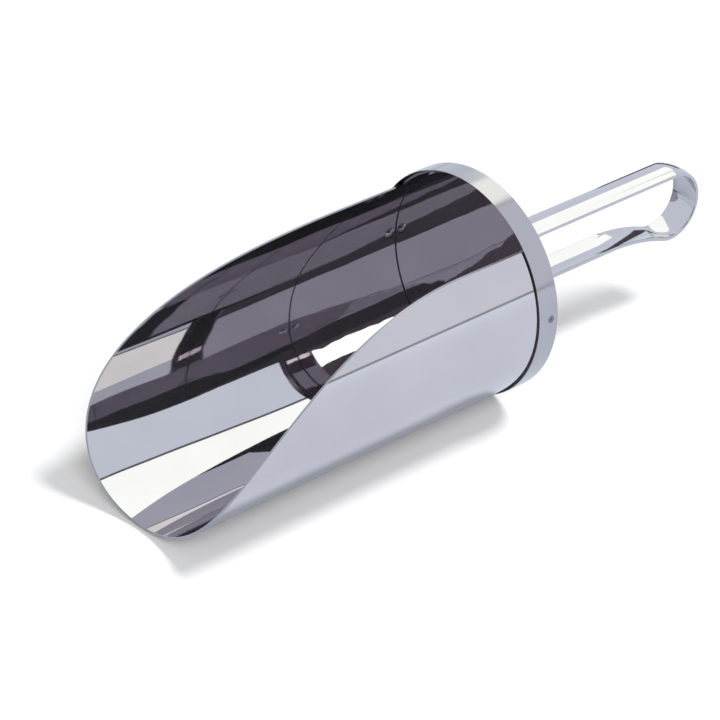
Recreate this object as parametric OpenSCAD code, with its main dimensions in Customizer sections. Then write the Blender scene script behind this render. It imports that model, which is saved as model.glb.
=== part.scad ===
// Hand scoop for ice: a mirror-polished tube cut to a long scooping mouth, closed by a
// shallow cap that carries a bent-strip loop handle. Lies with its axis along X, the tip
// towards -X, the handle towards +X and the mouth upwards. The cap's rim rests on z = 0.

/* [Scoop tube] */
// Outer diameter of the tube
tube_d = 80; // [60:1:100]
// Thickness of the tube's sheet
sheet_t = 0.8; // [0.6:0.1:1]
// Length of the tube in front of the cap
body_len = 139; // [110:1:180]

/* [Mouth] */
// Height of the mouth's edge above the tube's axis at the cap
mouth_h = 25.2; // [20:0.1:32]
// Length of the straight part of the mouth's edge, from the cap
mouth_straight = 28; // [20:1:60]
// How far the mouth reaches under the cap's rim
mouth_in = 2.4; // [2:0.1:2.6]

/* [End cap] */
// Outer diameter added to the tube's by the cap's rim
cap_step = 1.8; // [1.6:0.1:2.4]
// Length of the cap along the tube
cap_len = 8.8; // [8.6:0.1:14]
// Thickness of the cap's rim
rim_t = 0.6; // [0.5:0.1:0.7]
// Thickness of the cap's flat back
back_t = 0.7; // [0.7:0.1:1]
// Radius round the back edge of the cap
back_r = 0.7; // [0.5:0.1:0.8]

/* [Cap rivets] */
// Shank diameter of the rivets that hold the cap to the tube
pin_d = 2.4; // [2:0.1:3]
// Distance of the rivets behind the front of the cap
pin_x = 5.2; // [4:0.1:5.6]
// Angle of the rivets above the level of the tube's axis, in degrees
pin_a = 2.5; // [0:0.5:5]
// Diameter of the rivets' inner heads
pin_head_d = 4; // [3.6:0.1:4.4]
// Height of the rivets' inner heads
pin_head_h = 0.7; // [0.5:0.1:1]

/* [Handle] */
// Width of the handle strip
strip_w = 12; // [10:0.5:16]
// Thickness of the handle strip
strip_t = 1.3; // [1:0.1:1.6]
// Height of the strip's crown between its edges and its middle
crown = 0.9; // [0.5:0.1:1.5]
// Height of the top arm's crown above the tube's axis
arm_top = 10.6; // [9:0.1:13]
// Outer radius of the round end of the loop
loop_r = 14; // [12:0.5:18]
// Distance of the round end's centre behind the front of the cap
loop_x = 104; // [85:1:120]
// Radius of the reverse bend between the lower arm and the round end
waist_r = 78; // [40:1:90]
// Angle through which the reverse bend turns, in degrees
waist_a = 20.6; // [10:0.2:25]

/* [Handle feet] */
// Length of each foot from the arm's outer face to its rounded end
foot_len = 15; // [14:0.5:16]
// Radius inside the bend between an arm and its foot
foot_bend_r = 2; // [1.5:0.1:3]
// Diameter of the handle rivets' shanks
rivet_d = 3.2; // [3:0.1:4]
// Diameter of the handle rivets' domed heads
rivet_head_d = 6.4; // [6:0.1:7.5]
// Height of the handle rivets' domed heads
rivet_head_h = 1.8; // [1.4:0.1:2.2]

/* [Hidden] */
$fn = 96;
cut = 1;                                    // how far cutting shapes run past what they cut
steel = [0.80, 0.80, 0.84];
satin = [0.72, 0.73, 0.77];
sealant = [0.22, 0.21, 0.23];

tube_r = tube_d / 2;
tube_in = tube_r - sheet_t;
cap_r = tube_r + cap_step / 2;
cap_in = cap_r - rim_t;
plate_x = cap_len - back_t;                 // the cap's inner face, behind the front of its rim
seal_len = 1.6;                             // how far the sealing bead reaches into the cap
lip_flare = 0.3;                            // how far the rim's inner edge opens at the mouth
end_bevel = 0.4;                            // bevel inside the tube's end, against the cap's back
rim_chamfer = 0.15;                         // the rim narrows by this towards its front edge
rim_chamfer_len = 1.2;
seal_set = 0.15;                            // how far the sealing bead lies behind the rim's front edge
pin_hole_d = pin_d + 0.2;
pin_seat_gap = 0.12;                        // the inner heads' flat seats clear the curved wall by this
pin_flush = 0.05;                           // the shanks' ends lie this far under the rim's surface
dimple_depth = 0.3;
dimple_d0 = 0.6;                            // the dimple's diameter at its floor
dimple_d1 = 1.05;                           // and at the surface
joined = 0.1;                               // how far two shapes of one solid run into each other

loop_z = arm_top - loop_r;                  // height of the round end's centre above the axis
waist_in = -90 - waist_a;                   // where the round end meets the reverse bend
waist_x = loop_x + (loop_r + waist_r) * cos(waist_in);
waist_z = loop_z + (loop_r + waist_r) * sin(waist_in);
arm_low = waist_z + waist_r;                // height of the lower arm's crown, below the axis
foot_face = cap_len + strip_t;              // outer face of the feet
blend_near = cap_len + 6;                   // an arm's section is flat up to here
blend_far = cap_len + 18;                   // an arm's section has its full crown from here
foot_z = foot_len - strip_w / 2;            // rivet's distance beyond an arm's outer face
foot_end_gap = 0.1;                         // the rounded ends of the feet stop this short of a point
foot_steps = 7;
bend_steps = 6;
blend_steps = 6;
loop_steps = 40;
waist_steps = 12;
across = 8;                                 // facets across the strip

handle_end = loop_x + loop_r;
front_x = (body_len - handle_end) / 2;      // the cap's front plane, with the length centred on x = 0

// From the axis frame (origin on the axis at the cap's front plane) to the part's own frame
module on_axis() {
    translate([front_x, 0, cap_r]) children();
}

// A cylinder along +X from x0, radius r
module along_x(x0, len, r) {
    translate([x0, 0, 0]) rotate([0, 90, 0]) cylinder(h = len, r = r);
}

// Turns a profile with x = radius and y = distance along the tube round the tube's axis
module round_x() {
    rotate([0, 90, 0]) rotate_extrude() children();
}

// Low dome of diameter d and height h, standing on z = 0
module dome(d, h) {
    r = (d * d / 4 + h * h) / (2 * h);
    rotate_extrude() intersection() {
        translate([0, h - r]) circle(r = r);
        square([d, h]);
    }
}

// Side outline of what the mouth removes: a level edge from under the cap's rim, then a quarter ellipse
// down to the tip
module mouth_outline() {
    steps = 48;
    half_len = body_len - mouth_straight;
    half_h = mouth_h + tube_in;
    edge = [
        for (i = [0:steps])
            [-mouth_straight - half_len * sin(90 * i / steps), half_h * cos(90 * i / steps) - tube_in]
    ];
    polygon(concat(
        [[mouth_in, tube_r + cut], [mouth_in, mouth_h]],
        edge,
        [[-body_len - cut, -tube_in], [-body_len - cut, tube_r + cut]]
    ));
}

// What the mouth removes, right through the tube
module mouth() {
    rotate([90, 0, 0]) linear_extrude(height = tube_d + 4 * cut, center = true) mouth_outline();
}

module scoop_body() {
    color(steel) on_axis() difference() {
        along_x(-body_len, body_len + plate_x, tube_r);
        along_x(-body_len - cut, body_len + plate_x + 2 * cut, tube_in);
        translate([plate_x - end_bevel, 0, 0]) rotate([0, 90, 0])
            cylinder(h = end_bevel + cut, r1 = tube_in, r2 = tube_in + end_bevel + cut);
        mouth();
        pin_hole(-1);
        pin_hole(1);
    }
}

// Radial hole for a cap rivet through rim and tube, on the -Y or +Y side
module pin_hole(side) {
    rotate([side * pin_a, 0, 0]) translate([pin_x, side * tube_r, 0]) rotate([90, 0, 0])
        cylinder(h = 10 * sheet_t, d = pin_hole_d, center = true);
}

// Half section of the cap: x is the radius, y the distance behind the front of the rim
module cap_profile() {
    difference() {
        union() {
            square([cap_r - back_r, cap_len]);
            square([cap_r, cap_len - back_r]);
            translate([cap_r - back_r, cap_len - back_r]) circle(r = back_r);
        }
        translate([-cut, -cut]) square([cap_in + cut, plate_x + cut]);
        polygon([
            [cap_in - cut, -cut],
            [cap_in + lip_flare + cut * lip_flare / seal_len, -cut],
            [cap_in, seal_len],
            [cap_in - cut, seal_len]
        ]);
        polygon([
            [cap_r - rim_chamfer, -cut],
            [cap_r - rim_chamfer, 0],
            [cap_r, rim_chamfer_len],
            [cap_r + cut, rim_chamfer_len],
            [cap_r + cut, -cut]
        ]);
    }
}

module end_cap() {
    color(satin) on_axis() difference() {
        intersection() {
            round_x() cap_profile();
            along_x(-cut, cap_len + 2 * cut, cap_r + cut);
        }
        pin_hole(-1);
        pin_hole(1);
        rivet_hole(1);
        rivet_hole(-1);
    }
}

// Bead between the tube and the cap's flared lip, everywhere but across the mouth
module cap_seal() {
    color(sealant) on_axis() difference() {
        round_x() polygon([
            [tube_r, seal_set],
            [cap_in + lip_flare * (1 - seal_set / seal_len), seal_set],
            [cap_in, seal_len],
            [tube_r, seal_len]
        ]);
        mouth();
    }
}

// Rivet through rim and tube: flush outside with a small dimple, a low domed head inside
module cap_rivet(side) {
    seat = tube_in - pin_seat_gap;
    outer = cap_r - pin_flush;
    wider = dimple_d0 + (dimple_d1 - dimple_d0) * (dimple_depth + cut) / dimple_depth;
    color(steel) on_axis() rotate([side * pin_a, 0, 0]) translate([pin_x, 0, 0]) rotate([side * -90, 0, 0])
        difference() {
            union() {
                translate([0, 0, seat - joined]) cylinder(h = outer - seat + joined, d = pin_d);
                translate([0, 0, seat]) mirror([0, 0, 1]) dome(pin_head_d, pin_head_h);
            }
            translate([0, 0, outer - dimple_depth])
                cylinder(h = dimple_depth + cut, d1 = dimple_d0, d2 = wider);
        }
}

module cap_rivet_near() { cap_rivet(-1); }

module cap_rivet_far() { cap_rivet(1); }

// The strip's route is a list of stations [x, z, angle, crown, half width]: a point on the middle of its
// outer face, the direction in which that face looks (0 is +X, 90 is +Z), and the section there.

// Half width of a foot at a distance from its rounded end
function foot_half_w(from_end) =
    from_end >= strip_w / 2 ? strip_w / 2 : sqrt(pow(strip_w / 2, 2) - pow(strip_w / 2 - from_end, 2));

// Outer face of the top foot, from its rounded end to the bend, then round the bend to the arm
function top_foot() = concat(
    [
        for (i = [0:foot_steps])
            let (from_end = foot_end_gap + (strip_w / 2 - foot_end_gap) * (1 - cos(90 * i / foot_steps)))
            [foot_face, arm_top + foot_len - from_end, 0, 0, foot_half_w(from_end)]
    ],
    [
        for (i = [0:bend_steps])
            let (a = 180 + 90 * i / bend_steps)
            [
                foot_face + foot_bend_r * (1 + cos(a)),
                arm_top + foot_bend_r * (1 + sin(a)),
                a - 180,
                0,
                strip_w / 2
            ]
    ]
);

// The top arm's section grows from flat at its foot to its full crown
function top_blend() = [
    for (i = [0:blend_steps])
        let (k = i / blend_steps)
        [blend_near + (blend_far - blend_near) * k, arm_top, 90, crown * k * k * (3 - 2 * k), strip_w / 2]
];

// An arc about [x, z], from just after angle a0 to a1; outward is 1 where the outer face looks away
// from [x, z]
function arc(x, z, r, a0, a1, outward, steps) = [
    for (i = [1:steps])
        let (a = a0 + (a1 - a0) * i / steps)
        [x + r * cos(a), z + r * sin(a), outward > 0 ? a : a + 180, crown, strip_w / 2]
];

// The stations of the lower foot and blend, the mirror of the top ones
function lower_side(stations) = [
    for (i = [len(stations) - 1:-1:0])
        let (s = stations[i])
        [s[0], arm_low - (s[1] - arm_top), -s[2], s[3], s[4]]
];

function handle_route() = concat(
    top_foot(),
    top_blend(),
    [[loop_x, arm_top, 90, crown, strip_w / 2]],
    arc(loop_x, loop_z, loop_r, 90, waist_in, 1, loop_steps),
    arc(waist_x, waist_z, waist_r, 90 - waist_a, 90, -1, waist_steps),
    lower_side(concat(top_foot(), top_blend()))
);

// Closed outline of the strip's section at a station: the outer face one way, the inner face back
function strip_ring(s) = [
    for (side = [0:1], i = [0:across])
        let (
            k = side == 0 ? 2 * i / across - 1 : 1 - 2 * i / across,
            out = -s[3] * k * k - side * strip_t
        )
        [s[0] + out * cos(s[2]), s[4] * k, s[1] + out * sin(s[2])]
];

// Skin between rings of n points each; both ends are closed with strips across the section
module skin(rings) {
    n = len(rings[0]);
    last = len(rings) - 1;
    polyhedron(
        points = [for (ring = rings) each ring],
        faces = concat(
            [for (j = [0:n / 2 - 2]) [n - 1 - j, n - 2 - j, j + 1, j]],
            [for (j = [0:n / 2 - 2]) last * n * [1, 1, 1, 1] + [j, j + 1, n - 2 - j, n - 1 - j]],
            [
                for (i = [0:last - 1], j = [0:n - 1])
                    let (a = i * n + j, b = i * n + (j + 1) % n)
                    each [[a, b, b + n], [a, b + n, a + n]]
            ]
        )
    );
}

// Hole for a handle rivet through foot and cap back; side is 1 for the top foot and -1 for the other
module rivet_hole(side) {
    z = side > 0 ? arm_top + foot_z : arm_low - foot_z;
    translate([0, 0, z]) along_x(0, 2 * cap_len, rivet_d / 2);
}

module handle() {
    color(steel) on_axis() difference() {
        skin([for (s = handle_route()) strip_ring(s)]);
        rivet_hole(1);
        rivet_hole(-1);
    }
}

// Rivet through a foot and the cap's back: domed head outside, ground flush inside
module handle_rivet(side) {
    z = side > 0 ? arm_top + foot_z : arm_low - foot_z;
    head_x = cap_len + strip_t;
    color(satin) on_axis() translate([0, 0, z]) {
        along_x(plate_x, head_x - plate_x + joined, rivet_d / 2);
        translate([head_x, 0, 0]) rotate([0, 90, 0]) dome(rivet_head_d, rivet_head_h);
    }
}

module handle_rivet_top() { handle_rivet(1); }

module handle_rivet_bottom() { handle_rivet(-1); }

scoop_body();
end_cap();
cap_seal();
cap_rivet_near();
cap_rivet_far();
handle();
handle_rivet_top();
handle_rivet_bottom();
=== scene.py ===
import bpy, bmesh, math
from mathutils import Matrix, Vector


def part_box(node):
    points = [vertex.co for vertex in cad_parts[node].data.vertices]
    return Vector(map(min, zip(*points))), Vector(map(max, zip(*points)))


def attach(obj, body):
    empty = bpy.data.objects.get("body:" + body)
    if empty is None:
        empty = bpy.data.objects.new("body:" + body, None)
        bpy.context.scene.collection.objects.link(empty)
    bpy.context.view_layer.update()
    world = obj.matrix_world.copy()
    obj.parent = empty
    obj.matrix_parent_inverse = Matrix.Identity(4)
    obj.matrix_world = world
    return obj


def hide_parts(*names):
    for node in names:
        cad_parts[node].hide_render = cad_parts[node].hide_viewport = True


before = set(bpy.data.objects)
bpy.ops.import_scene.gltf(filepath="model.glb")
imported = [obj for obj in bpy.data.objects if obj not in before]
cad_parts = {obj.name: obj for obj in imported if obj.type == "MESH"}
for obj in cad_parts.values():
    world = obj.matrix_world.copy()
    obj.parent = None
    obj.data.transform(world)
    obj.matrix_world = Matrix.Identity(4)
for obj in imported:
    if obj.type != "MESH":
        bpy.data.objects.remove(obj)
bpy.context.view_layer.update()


scene = bpy.context.scene
scene.view_settings.view_transform = "Standard"
scene.view_settings.look = "None"

# ---------------------------------------------------------------- measures of the part, in metres
body_lo, body_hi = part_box("scoop_body")
cap_lo, cap_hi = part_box("end_cap")
hand_lo, hand_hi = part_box("handle")
AXIS_Z = (cap_lo.z + cap_hi.z) / 2
SHEET_T = 0.0008
R_OUT = (body_hi.y - body_lo.y) / 2
R_IN = R_OUT - SHEET_T
TIP_X = body_lo.x
FRONT_X = cap_lo.x  # the cap's front plane
BACK_X = body_hi.x  # the tube's end, on the cap's inner face
CAP_BACK = cap_hi.x
CAP_R = (cap_hi.y - cap_lo.y) / 2
MOUTH_H = 0.0252  # height of the mouth's level edge above the axis
MOUTH_STRAIGHT = 0.028  # how far that level edge reaches forward of the cap
MOUTH_IN = 0.0024  # how far the mouth reaches under the cap's rim
END_BEVEL = 0.0004  # bevel inside the tube's end
CLOSE = 1e-5  # positions that differ by less are the same

# the handle's strip
STRIP_W = hand_hi.y - hand_lo.y
STRIP_T = 0.0013
CROWN = 0.0009  # how far the strip's middle stands above its edges
EDGE_R = 0.00035
FOOT_FACE = hand_lo.x + STRIP_T
FOOT_LEN = 0.015
FOOT_END_GAP = 0.0001  # the feet's round ends stop this short of a point
BEND_R = 0.002
BLEND_NEAR = 0.006  # an arm's section is flat up to here, from the cap's back
BLEND_FAR = 0.018  # and fully crowned from here
LOOP_R = 0.014
WAIST_R = 0.078
WAIST_A = math.radians(20.6)
ARM_TOP = hand_hi.z - FOOT_LEN + FOOT_END_GAP
LOOP_X = hand_hi.x - LOOP_R
LOOP_Z = ARM_TOP - LOOP_R


# ---------------------------------------------------------------- mesh helpers
def add_object(name, me):
    ob = bpy.data.objects.new(name, me)
    scene.collection.objects.link(ob)
    return ob


def build_mesh(name, verts, faces):
    """A smooth-shaded closed mesh, its faces turned outwards."""
    me = bpy.data.meshes.new(name)
    me.from_pydata([tuple(v) for v in verts], [], faces)
    bm = bmesh.new()
    bm.from_mesh(me)
    bmesh.ops.recalc_face_normals(bm, faces=bm.faces)
    bm.to_mesh(me)
    bm.free()
    me.shade_smooth()
    return me


def set_normals(me, normals_of):
    """Exact normals: normals_of(the face's points, its own normal) gives one for each corner."""
    out = [None] * len(me.loops)
    for p in me.polygons:
        pts = [me.vertices[i].co for i in p.vertices]
        for i, n in zip(p.loop_indices, normals_of(pts, p.normal)):
            out[i] = tuple(n)
    me.normals_split_custom_set(out)


def radius(co):
    return math.hypot(co.y, co.z - AXIS_Z)


def radial(co, sign=1.0):
    return Vector((0.0, co.y, co.z - AXIS_Z)).normalized() * sign


def strip_faces(a, b, closed=False):
    """The quads between two rows of vertices."""
    n = len(a)
    return [(a[k], a[(k + 1) % n], b[(k + 1) % n], b[k]) for k in range(n if closed else n - 1)]


# ---------------------------------------------------------------- the scoop's sheet
def scoop_piece():
    cols, gap_cols, rows, level_rows = 176, 56, 120, 10
    tip_angle = math.radians(88.8)  # the first row lies just inside the tip
    half_len = FRONT_X - TIP_X - MOUTH_STRAIGHT

    def point(r, phi, x):
        return Vector((x, r * math.sin(phi), AXIS_Z - r * math.cos(phi)))

    def edge_height(x):
        d = FRONT_X - x
        if d <= MOUTH_STRAIGHT:
            return MOUTH_H
        u = min((d - MOUTH_STRAIGHT) / half_len, 1.0)
        return (MOUTH_H + R_IN) * math.sqrt(max(1 - u * u, 0)) - R_IN

    curve_end = FRONT_X - MOUTH_STRAIGHT
    ring_x = FRONT_X + MOUTH_IN
    xs = [curve_end - half_len * math.sin(tip_angle * (1 - i / rows)) for i in range(rows + 1)]
    level = ring_x - curve_end
    xs += [ring_x - level * (1 - i / level_rows) for i in range(1, level_rows + 1)]
    verts, faces = [], []
    inner, outer = [], []
    for x in xs:
        z = edge_height(x)
        for r, store in ((R_IN, inner), (R_OUT, outer)):
            half = math.acos(max(-z / r, -1.0))
            start = len(verts)
            verts += [point(r, half * (2 * k / cols - 1), x) for k in range(cols + 1)]
            store.append(list(range(start, start + cols + 1)))
    for store in (inner, outer):
        for a, b in zip(store[:-1], store[1:]):
            faces += strip_faces(a, b)
    faces += strip_faces(inner[0], outer[0])
    for k in (0, cols):
        faces += strip_faces([row[k] for row in inner], [row[k] for row in outer])

    # the closed ring inside the cap
    rings = {}
    steps = {R_IN: ((BACK_X - END_BEVEL, 0.0), (BACK_X, END_BEVEL)), R_OUT: ((BACK_X, 0.0),)}
    for r, store in ((R_IN, inner), (R_OUT, outer)):
        half = math.acos(-MOUTH_H / r)
        start = len(verts)
        gap = 2 * math.pi - 2 * half
        verts += [point(r, half + gap * k / gap_cols, ring_x) for k in range(1, gap_cols)]
        front = store[-1] + list(range(start, len(verts)))
        last = front
        for x, widen in steps[r]:
            start = len(verts)
            for i in front:
                a = math.atan2(verts[i].y, AXIS_Z - verts[i].z)
                verts.append(point(r + widen, a, x))
            back = list(range(start, len(verts)))
            faces += strip_faces(last, back, closed=True)
            last = back
        rings[r] = (front, last)
    faces += strip_faces(rings[R_IN][1], rings[R_OUT][1], closed=True)
    faces += strip_faces(rings[R_IN][0], rings[R_OUT][0], closed=True)[cols:]

    def normals(pts, face_n):
        rs = [radius(p) for p in pts]
        if all(r < R_IN + CLOSE for r in rs):
            return [radial(p, -1.0) for p in pts]
        if all(r > R_OUT - CLOSE for r in rs):
            return [radial(p) for p in pts]
        return [face_n] * len(pts)

    me = build_mesh("scoop_sheet", verts, faces)
    set_normals(me, normals)
    return add_object("scoop_sheet", me)


# ---------------------------------------------------------------- the handle strip
def strip_stations():
    """Along the strip: x, z of its outer face, the angle that face looks in, crown, half width."""
    half = STRIP_W / 2
    end_rows, bend_rows, blend_rows, arm_rows, loop_rows, waist_rows = 12, 16, 24, 12, 120, 40
    up = math.pi / 2
    top = []
    for i in range(end_rows + 1):
        e = FOOT_END_GAP + (half - FOOT_END_GAP) * (1 - math.cos(up * i / end_rows))
        w = half if e >= half else math.sqrt(half**2 - (half - e) ** 2)
        top.append((FOOT_FACE, ARM_TOP + FOOT_LEN - e, 0.0, 0.0, w))
    for i in range(bend_rows + 1):
        a = math.pi + up * i / bend_rows
        x = FOOT_FACE + BEND_R * (1 + math.cos(a))
        z = ARM_TOP + BEND_R * (1 + math.sin(a))
        top.append((x, z, a - math.pi, 0.0, half))
    for i in range(blend_rows + 1):
        k = i / blend_rows
        x = CAP_BACK + BLEND_NEAR + (BLEND_FAR - BLEND_NEAR) * k
        top.append((x, ARM_TOP, up, CROWN * k * k * (3 - 2 * k), half))
    stations = list(top)
    x0 = CAP_BACK + BLEND_FAR
    for i in range(1, arm_rows + 1):
        stations.append((x0 + (LOOP_X - x0) * i / arm_rows, ARM_TOP, up, CROWN, half))
    end = -up - WAIST_A
    for i in range(1, loop_rows + 1):
        a = up + (end - up) * i / loop_rows
        x = LOOP_X + LOOP_R * math.cos(a)
        z = LOOP_Z + LOOP_R * math.sin(a)
        stations.append((x, z, a, CROWN, half))
    waist_x = LOOP_X + (LOOP_R + WAIST_R) * math.cos(end)
    waist_z = LOOP_Z + (LOOP_R + WAIST_R) * math.sin(end)
    for i in range(1, waist_rows + 1):
        a = up - WAIST_A * (1 - i / waist_rows)
        x = waist_x + WAIST_R * math.cos(a)
        z = waist_z + WAIST_R * math.sin(a)
        stations.append((x, z, a + math.pi, CROWN, half))
    arm_low = waist_z + WAIST_R
    for x, z, ang, c, w in reversed(top):
        stations.append((x, arm_low - (z - ARM_TOP), -ang, c, w))
    return stations


def strip_section(crown, half):
    """The strip's outline: y, depth below the outer face's middle, and the normal's y and outward parts."""
    across, corner = 20, 4
    edge_r = min(EDGE_R, half * 0.3)  # smaller where a foot's round end is narrow
    inset = half - edge_r

    def bow(y):
        return crown * (y / half) ** 2

    def tilt(y):
        return math.atan(2 * crown * y / half**2)

    def face(y, depth, sign):
        t = tilt(y)
        return y, bow(y) + depth, sign * math.sin(t), sign * math.cos(t)

    def edge(t, deep):
        side = math.copysign(1.0, math.sin(t))
        y = side * (inset + edge_r * (abs(math.sin(t)) - math.sin(lean)))
        if deep:
            depth = STRIP_T - edge_r * (math.cos(lean) + math.cos(t))
        else:
            depth = edge_r * (math.cos(lean) - math.cos(t))
        return y, bow(inset) + depth, math.sin(t), math.cos(t)

    lean = tilt(inset)
    quarter = math.pi / 2
    ys = [-inset + 2 * inset * k / across for k in range(across + 1)]
    outline = [face(y, 0.0, 1.0) for y in ys]
    outline += [edge(lean + (quarter - lean) * k / corner, False) for k in range(1, corner + 1)]
    outline += [edge(quarter + (quarter + lean) * k / corner, True) for k in range(corner)]
    outline += [face(-y, STRIP_T, -1.0) for y in ys]
    outline += [edge(math.pi - lean + (quarter + lean) * k / corner, True) for k in range(1, corner + 1)]
    outline += [edge(-quarter + (quarter - lean) * k / corner, False) for k in range(corner)]
    return outline


def handle_piece():
    verts, norms, rings = [], [], []
    for x, z, ang, crown, half in strip_stations():
        start = len(verts)
        for y, depth, ny, out in strip_section(crown, half):
            verts.append(Vector((x - depth * math.cos(ang), y, z - depth * math.sin(ang))))
            norms.append(Vector((out * math.cos(ang), ny, out * math.sin(ang))).normalized())
        rings.append(list(range(start, len(verts))))
    faces = []
    for a, b in zip(rings[:-1], rings[1:]):
        faces += strip_faces(a, b, closed=True)
    faces += [tuple(rings[0]), tuple(reversed(rings[-1]))]
    me = build_mesh("handle_strip", verts, faces)
    out = [None] * len(me.loops)
    for p in me.polygons:
        for i in p.loop_indices:
            on_side = len(p.vertices) == 4
            out[i] = tuple(norms[me.loops[i].vertex_index] if on_side else p.normal)
    me.normals_split_custom_set(out)
    return add_object("handle_strip", me)


# ---------------------------------------------------------------- the cap, from its CAD mesh
def cap_piece():
    rim_depth = 0.0004  # the rim's outside is all that lies this near the cap's radius
    flat_x, outward = 0.5, 0.9
    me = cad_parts["end_cap"].data.copy()
    me.name = "cap_shell"

    def normals(pts, face_n):
        middle = sum(pts, Vector()) / len(pts)
        turned = abs(face_n.x) > flat_x or face_n.dot(radial(middle)) < outward
        if turned or min(radius(p) for p in pts) < CAP_R - rim_depth:
            return [face_n] * len(pts)
        return [radial(p) for p in pts]

    me.shade_smooth()
    set_normals(me, normals)
    return add_object("cap_shell", me)


# ---------------------------------------------------------------- materials
def add_node(nt, kind, values=None):
    n = nt.nodes.new("ShaderNode" + kind)
    for key, value in (values or {}).items():
        n.inputs[key].default_value = value
    return n


def new_material(name):
    m = bpy.data.materials.new(name)
    m.use_nodes = True
    return m, m.node_tree, m.node_tree.nodes["Principled BSDF"]


def material(name, colour, rough, bump=None, metallic=1.0):
    """Steel with a faint mottle and uneven roughness; bump is (scale, strength, distance)."""
    mottle = 0.03
    m, nt, bsdf = new_material(name)
    bsdf.inputs["Metallic"].default_value = metallic
    tc = add_node(nt, "TexCoord")
    noise = add_node(nt, "TexNoise", {"Scale": 40.0, "Detail": 4.0})
    nt.links.new(tc.outputs["Object"], noise.inputs["Vector"])
    ramp = add_node(nt, "ValToRGB")
    low, high = ramp.color_ramp.elements[0], ramp.color_ramp.elements[1]
    low.position, high.position = 0.3, 0.7
    low.color = (*[c * (1 - mottle) for c in colour], 1)
    high.color = (*[min(c * (1 + mottle), 1) for c in colour], 1)
    nt.links.new(noise.outputs["Fac"], ramp.inputs["Fac"])
    nt.links.new(ramp.outputs["Color"], bsdf.inputs["Base Color"])
    spread = add_node(nt, "MapRange", {"To Min": rough[0], "To Max": rough[1]})
    fine = add_node(nt, "TexNoise", {"Scale": 220.0, "Detail": 3.0})
    nt.links.new(tc.outputs["Object"], fine.inputs["Vector"])
    nt.links.new(fine.outputs["Fac"], spread.inputs["Value"])
    nt.links.new(spread.outputs["Result"], bsdf.inputs["Roughness"])
    if bump:
        scale, strength, distance = bump
        mapping = add_node(nt, "Mapping", {"Scale": scale})
        nt.links.new(tc.outputs["Object"], mapping.inputs["Vector"])
        waves = add_node(nt, "TexNoise", {"Scale": 1.0, "Detail": 2.0})
        nt.links.new(mapping.outputs["Vector"], waves.inputs["Vector"])
        relief = add_node(nt, "Bump", {"Strength": strength, "Distance": distance})
        nt.links.new(waves.outputs["Fac"], relief.inputs["Height"])
        nt.links.new(relief.outputs["Normal"], bsdf.inputs["Normal"])
    return m


# where a colour Mix node takes its two colours and gives its result
MIX_A, MIX_B, MIX_OUT = 6, 7, 2


def darken_ends(mat, beyond, colour):
    """The rivets' outer ends, farther than this from the scoop's middle plane, get a darker colour."""
    nt = mat.node_tree
    bsdf = nt.nodes["Principled BSDF"]
    old = bsdf.inputs["Base Color"].links[0].from_socket
    tc = add_node(nt, "TexCoord")
    xyz = add_node(nt, "SeparateXYZ")
    size = add_node(nt, "Math")
    size.operation = "ABSOLUTE"
    far = add_node(nt, "Math", {1: beyond})
    far.operation = "GREATER_THAN"
    mix = add_node(nt, "Mix", {MIX_B: (*colour, 1)})
    mix.data_type = "RGBA"
    nt.links.new(tc.outputs["Object"], xyz.inputs[0])
    nt.links.new(xyz.outputs["Y"], size.inputs[0])
    nt.links.new(size.outputs[0], far.inputs[0])
    nt.links.new(far.outputs[0], mix.inputs[0])
    nt.links.new(old, mix.inputs[MIX_A])
    nt.links.new(mix.outputs[MIX_OUT], bsdf.inputs["Base Color"])


STEEL = (0.61, 0.57, 0.60)
slight_waves = ((9, 28, 28), 1.0, 0.00040)
turned_grain = ((3000, 60, 60), 0.15, 0.00002)
mirror = material("mirror_steel", STEEL, (0.015, 0.045), bump=slight_waves, metallic=0.985)
outside = material("outer_steel", (0.66, 0.60, 0.62), (0.03, 0.06))
cut_edge = material("cut_edge", (0.40, 0.38, 0.41), (0.2, 0.3))
# painted shade: a dark colour for the sheet's cut faces inside the cap, where shade falls
painted_shade_edge = material("painted_shade_edge", (0.20, 0.17, 0.21), (0.3, 0.4))
polished = material("handle_steel", STEEL, (0.04, 0.08))
satin = material("satin_steel", (0.515, 0.475, 0.50), (0.11, 0.17), bump=turned_grain)
rivet = material("rivet_steel", (0.60, 0.58, 0.60), (0.10, 0.2))
# black, for the ring that fills the dark line between the tube and the cap
black_ring = material("sealant", (0.02, 0.02, 0.022), (0.4, 0.6), metallic=0.0)
darken_ends(rivet, R_OUT, (0.26, 0.25, 0.28))

# ---------------------------------------------------------------- the pieces
OUTSIDE, PAINTED_SHADE, CUT = 1, 2, 3  # the sheet's material slots; 0 is its inside, 2 a dark colour painted as shade on the cut faces inside the cap
EDGE_TOL = 0.0001
sheet = scoop_piece()
for mat in (mirror, outside, painted_shade_edge, cut_edge):
    sheet.data.materials.append(mat)
for p in sheet.data.polygons:
    pts = [sheet.data.vertices[i].co for i in p.vertices]
    rs = [radius(co) for co in pts]
    if min(rs) > R_OUT - EDGE_TOL:
        p.material_index = OUTSIDE
    elif max(rs) > R_IN + EDGE_TOL:
        # the cut faces inside the cap take the painted shade colour, the others the plain cut edge
        in_cap = min(co.x for co in pts) > FRONT_X + MOUTH_IN - CLOSE
        p.material_index = PAINTED_SHADE if in_cap else CUT
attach(sheet, "root")
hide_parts("scoop_body")

strip = handle_piece()
strip.data.materials.append(polished)
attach(strip, "root")
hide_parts("handle")

cap = cap_piece()
cap.data.materials.clear()
cap.data.materials.append(satin)
cap.data.materials.append(mirror)
DISC_R = R_IN + 0.0005
for p in cap.data.polygons:
    on_disc = radius(p.center) < DISC_R and p.normal.x < -0.5
    p.material_index = 1 if on_disc else 0
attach(cap, "root")
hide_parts("end_cap")

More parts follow.
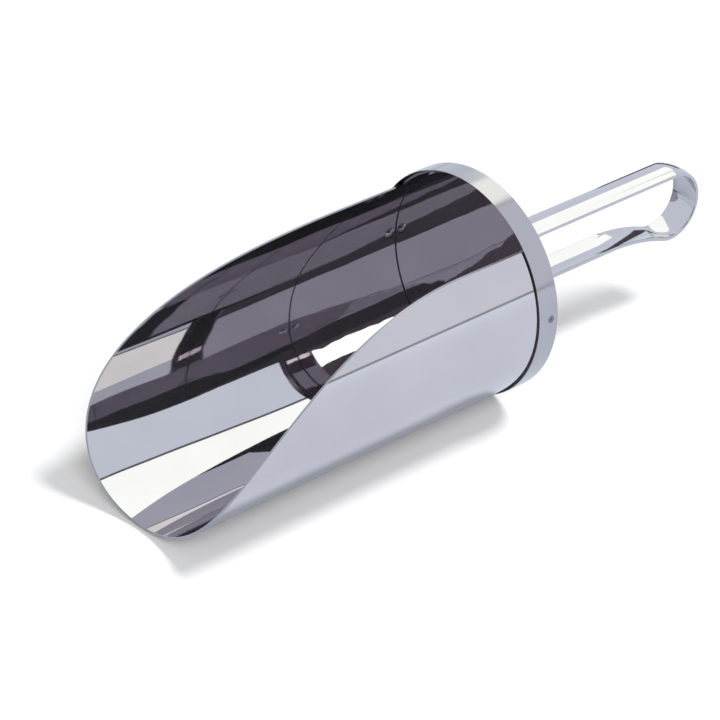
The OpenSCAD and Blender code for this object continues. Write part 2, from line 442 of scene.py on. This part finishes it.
carried_over = {
    "cap_seal": black_ring,
    "cap_rivet_near": rivet,
    "cap_rivet_far": rivet,
    "handle_rivet_top": mirror,
    "handle_rivet_bottom": mirror,
}
for name, mat in carried_over.items():
    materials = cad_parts[name].data.materials
    materials.clear()
    materials.append(mat)

# ---------------------------------------------------------------- floor
FLOOR_HALF = 8.0
PAPER_REFLECTED = (0.46, 0.467, 0.475)  # the paper as the steel shows it
PAPER_SEEN = (0.70, 0.633, 0.582)  # and as the camera sees it
floor_me = bpy.data.meshes.new("floor")
bm = bmesh.new()
bmesh.ops.create_grid(bm, x_segments=4, y_segments=4, size=FLOOR_HALF)
bm.to_mesh(floor_me)
bm.free()
floor = add_object("floor", floor_me)
paper_floor, nt, bsdf = new_material("paper_floor")
bsdf.inputs["Roughness"].default_value = 0.9
bsdf.inputs["Specular IOR Level"].default_value = 0.1
paper = add_node(nt, "Mix", {MIX_A: (*PAPER_REFLECTED, 1), MIX_B: (*PAPER_SEEN, 1)})
paper.data_type = "RGBA"
nt.links.new(add_node(nt, "LightPath").outputs["Is Camera Ray"], paper.inputs[0])
nt.links.new(paper.outputs[MIX_OUT], bsdf.inputs["Base Color"])
grain = add_node(nt, "TexNoise", {"Scale": 900.0})
relief = add_node(nt, "Bump", {"Strength": 0.05, "Distance": 0.0001})
nt.links.new(grain.outputs["Fac"], relief.inputs["Height"])
nt.links.new(relief.outputs["Normal"], bsdf.inputs["Normal"])
floor.data.materials.append(paper_floor)

# ---------------------------------------------------------------- studio
CAM_AT = Vector((-0.63683, -0.65292, 0.55274))
LOOK_AT = Vector((-0.04911, -0.01698, 0.0409))
ROLL = math.radians(1.22)
forward = (LOOK_AT - CAM_AT).normalized()
flat_f = Vector((forward.x, forward.y, 0)).normalized()
flat_r = Vector((flat_f.y, -flat_f.x, 0))
origin = Vector((FRONT_X, 0, AXIS_Z))
ONE_QUAD = [(0, 1, 2, 3)]


def direction(az, el):
    return Vector((math.cos(az) * math.cos(el), math.sin(az) * math.cos(el), math.sin(el)))


def emitter(name, verts, faces, colour):
    """A glowing card that shows in reflections only."""
    me = bpy.data.meshes.new(name)
    me.from_pydata([tuple(v) for v in verts], [], faces)
    ob = add_object(name, me)
    m, nt, _ = new_material(name)
    nt.nodes.clear()
    glow = add_node(nt, "Emission", {"Color": (*colour, 1), "Strength": 1.0})
    out = add_node(nt, "OutputMaterial")
    nt.links.new(glow.outputs["Emission"], out.inputs["Surface"])
    me.materials.append(m)
    ob.visible_camera = False
    ob.visible_diffuse = False
    ob.visible_shadow = False
    return ob


def area_light(name, towards, distance, size, power):
    """A round lamp that lights the floor and does not show in reflections."""
    data = bpy.data.lights.new(name, "AREA")
    data.shape = "DISK"
    data.size = size
    data.energy = power
    data.color = (0.90, 1.0, 1.10)
    ob = add_object(name, data)
    ob.location = origin + towards * distance
    ob.rotation_euler = (ob.location - origin).to_track_quat("Z", "Y").to_euler()
    ob.visible_camera = False
    ob.visible_glossy = False


# the big soft box above and behind: how far it reaches behind the object, and to either side
BOX_H, BOX_DEEP, BOX_LEFT, BOX_RIGHT = 1.6, 2.0, -0.4, 0.88
EDGE_NEAR, EDGE_FAR = 0.885, 0.93  # a dark frame runs along its right side
CREAM = (1.54, 1.66, 1.53)


def overhead(f, r):
    return origin + flat_f * f + flat_r * r + Vector((0, 0, BOX_H))


def overhead_card(name, left, right, colour):
    spots = ((0.0, right), (BOX_DEEP, right), (BOX_DEEP, left), (0.0, left))
    emitter(name, [overhead(f, r) for f, r in spots], ONE_QUAD, colour)


overhead_card("soft_box", BOX_LEFT, BOX_RIGHT, CREAM)
overhead_card("soft_box_edge", EDGE_NEAR, EDGE_FAR, (0.12, 0.11, 0.12))

# a card beside the handle, seen in its arms: along the handle, and by the angle it is seen at
CARD_X, CARD_ANGLES, CARD_AT = (0.035, 0.25), (124, 143), 0.45
ALONG, ACROSS = 0.588, 0.809  # the mirrored view's share along the axis, and the rest
corners = []
for x, th in zip((*CARD_X, *reversed(CARD_X)), (CARD_ANGLES[0],) * 2 + (CARD_ANGLES[1],) * 2):
    th = math.radians(th)
    away = Vector((ALONG, -ACROSS * math.cos(th), ACROSS * math.sin(th)))
    corners.append(Vector((x, 0, 0.045)) + CARD_AT * away)
emitter("handle_card", corners, ONE_QUAD, CREAM)

# a small dark card low behind the handle, seen where the lower arm bends into the loop
mid = Vector((0.095, 0, 0.033)) + 0.3 * Vector((0.77, 0.63, 0.12))
side = Vector((0.63, -0.77, 0.0)) * 0.06
rise = Vector((0, 0, 0.026))
corners = [mid - side - rise, mid + side - rise, mid + side + rise, mid - side + rise]
emitter("handle_dark", corners, ONE_QUAD, (0.08, 0.07, 0.09))

# where the floor ends: a thin darker line all along the camera's side
SKIRT_R, SKIRT_H, SKIRT_PARTS = 7.6, 0.2, 24
SKIRT_FROM, SKIRT_SWEEP = -100, 110  # degrees
skirt = []
for i in range(SKIRT_PARTS + 1):
    a = math.radians(SKIRT_FROM + SKIRT_SWEEP * i / SKIRT_PARTS)
    skirt += [Vector((SKIRT_R * math.cos(a), SKIRT_R * math.sin(a), z)) for z in (0.0, SKIRT_H)]
faces = [(2 * i, 2 * i + 2, 2 * i + 3, 2 * i + 1) for i in range(SKIRT_PARTS)]
emitter("skirting", skirt, faces, (0.35, 0.36, 0.40))

# the unlit side of the studio, behind the camera: an eighth of a sphere
DARK_R, DARK_Y, DARK_COLS, DARK_ROWS = 2.4, 0.03, 16, 12
verts, faces = [], []
for i in range(DARK_COLS + 1):
    for j in range(DARK_ROWS + 1):
        away = direction(math.pi + math.pi / 2 * i / DARK_COLS, math.pi / 2 * j / DARK_ROWS)
        verts.append(Vector((0, DARK_Y, 0)) + DARK_R * away)
for i in range(DARK_COLS):
    for j in range(DARK_ROWS):
        a = i * (DARK_ROWS + 1) + j
        b = a + DARK_ROWS + 1
        faces.append((a, a + 1, b + 1, b))
emitter("dark_side", verts, faces, (0.105, 0.09, 0.11))

# a small bright lamp above the camera, seen in the far wall and the cap's inside
LAMP_AT, LAMP_U, LAMP_W = 1.04, (-0.055, 0.13), (-0.10, 0.19)
lamp_dir = Vector((-0.58, -0.50, 0.64)).normalized()
lamp_u = Vector((0, 0, 1)).cross(lamp_dir).normalized()
lamp_w = lamp_dir.cross(lamp_u)
spots = zip((*LAMP_U, *reversed(LAMP_U)), (LAMP_W[0],) * 2 + (LAMP_W[1],) * 2)
corners = [origin + (lamp_dir + lamp_u * u + lamp_w * w) * LAMP_AT for u, w in spots]
emitter("lamp", corners, ONE_QUAD, (4.1, 4.5, 4.2))

# the key, behind the object on the right, throws the shadow to the left and towards the camera
area_light("key", direction(math.radians(-22), math.radians(56)), 6.0, 1.7, 370.0)
# the fill, from the camera's side, keeps the shadow under the near side even
area_light("fill", Vector((-0.46, -0.74, 0.49)).normalized(), 5.0, 4.2, 320.0)

# the surroundings: full strength in reflections, weaker as a light on matt surfaces
SKY_SEEN, SKY_AS_LIGHT = 0.95, 0.52
world = bpy.data.worlds.new("studio")
scene.world = world
world.use_nodes = True
nt = world.node_tree
sky = nt.nodes["Background"]
sky.inputs["Color"].default_value = (0.84, 0.94, 1.03, 1)
dim = add_node(nt, "MapRange", {"To Min": SKY_SEEN, "To Max": SKY_AS_LIGHT})
nt.links.new(add_node(nt, "LightPath").outputs["Is Diffuse Ray"], dim.inputs["Value"])
nt.links.new(dim.outputs["Result"], sky.inputs["Strength"])

# ---------------------------------------------------------------- camera
cam_data = bpy.data.cameras.new("camera")
cam = add_object("camera", cam_data)
cam_data.lens = 153.16
cam_data.sensor_width = 36.0
cam_data.clip_start = 0.01
cam_data.clip_end = 60.0
right = forward.cross(Vector((0, 0, 1))).normalized()
up = right.cross(forward)
rot = Matrix.Rotation(-ROLL, 3, forward)
right, up = rot @ right, rot @ up
m = Matrix((right, up, -forward)).transposed().to_4x4()
m.translation = CAM_AT
cam.matrix_world = m
scene.camera = cam
